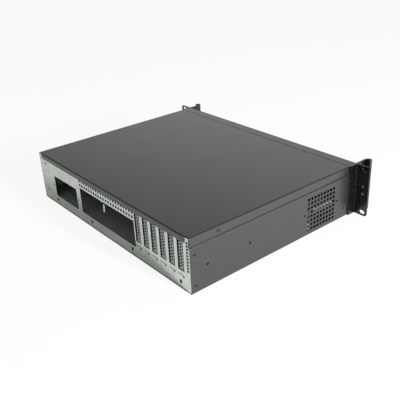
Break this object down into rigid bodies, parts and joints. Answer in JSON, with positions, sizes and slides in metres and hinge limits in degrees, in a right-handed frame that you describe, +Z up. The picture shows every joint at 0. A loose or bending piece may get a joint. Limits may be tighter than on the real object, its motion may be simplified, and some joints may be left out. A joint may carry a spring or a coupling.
{
  "type": "rackmount server case",
  "caption": "Short-depth black rackmount case, empty, with handled ears, galvanised rear panel, perforated slot covers, raised inner floor and a drive shelf.",
  "frame": {"origin": "centre of the case body's underside, midway between the sides and between the front plate and the rear lip", "axes": "+Z up, -Y out of the front plate, +Y out of the rear panel, +X to the right hand of someone facing the front"},
  "size_m": [0.4826, 0.3796, 0.088],
  "materials": {
    "coated_steel": "fine-textured black powder coat",
    "front_coating": "black powder coat",
    "handle_coating": "black anodised or coated extrusion, satin",
    "galvanised_steel": "galvanised sheet, dull",
    "brass_pillars": "machined",
    "plated_screws": "zinc plated",
    "black_screws": "black oxide",
    "button_plastic": "satin moulded",
    "switch_plastic": "moulded",
    "clear_plastic": "clear moulded",
    "socket_steel": "tin plated",
    "circuit_board": "solder mask"
  },
  "bodies": {
    "case": {"base_tray": "coated_steel", "top_cover": "coated_steel", "front_frame": "coated_steel", "front_panel": "front_coating", "ear_bracket_left": "front_coating", "ear_bracket_right": "front_coating", "handle_left": "handle_coating", "handle_right": "handle_coating", "rear_panel": "galvanised_steel", "board_tray": "galvanised_steel", "slot_rail": "galvanised_steel", "slot_screws": "plated_screws", "wire_finger": "galvanised_steel", "cover_screws": "black_screws", "side_rivets": "black_screws", "tray_screws": "black_screws", "ear_screws": "black_screws", "handle_screws": "plated_screws", "drive_shelf": "galvanised_steel", "shelf_screws": "plated_screws", "psu_stop": "galvanised_steel", "stop_screws": "plated_screws", "power_switch": "switch_plastic", "reset_switch": "switch_plastic", "light_pipes": "clear_plastic", "usb_shells": "socket_steel", "usb_tongues": "switch_plastic", "control_board": "circuit_board", "board_posts": "brass_pillars", "board_screws": "plated_screws", "slot_cover_1": "galvanised_steel", "slot_cover_2": "galvanised_steel", "slot_cover_3": "galvanised_steel", "slot_cover_4": "galvanised_steel", "slot_cover_5": "galvanised_steel", "slot_cover_6": "galvanised_steel"},
    "power_key": {"power_button": "button_plastic"},
    "reset_key": {"reset_button": "button_plastic"}
  },
  "joints": [
    {"name": "power_button_press", "type": "slide", "parent": "case", "child": "power_key", "axis": [0, 1, 0], "range_m": [0, 0.002], "stiffness_N_per_m": 900},
    {"name": "reset_button_press", "type": "slide", "parent": "case", "child": "reset_key", "axis": [0, 1, 0], "range_m": [0, 0.001], "stiffness_N_per_m": 900}
  ]
}
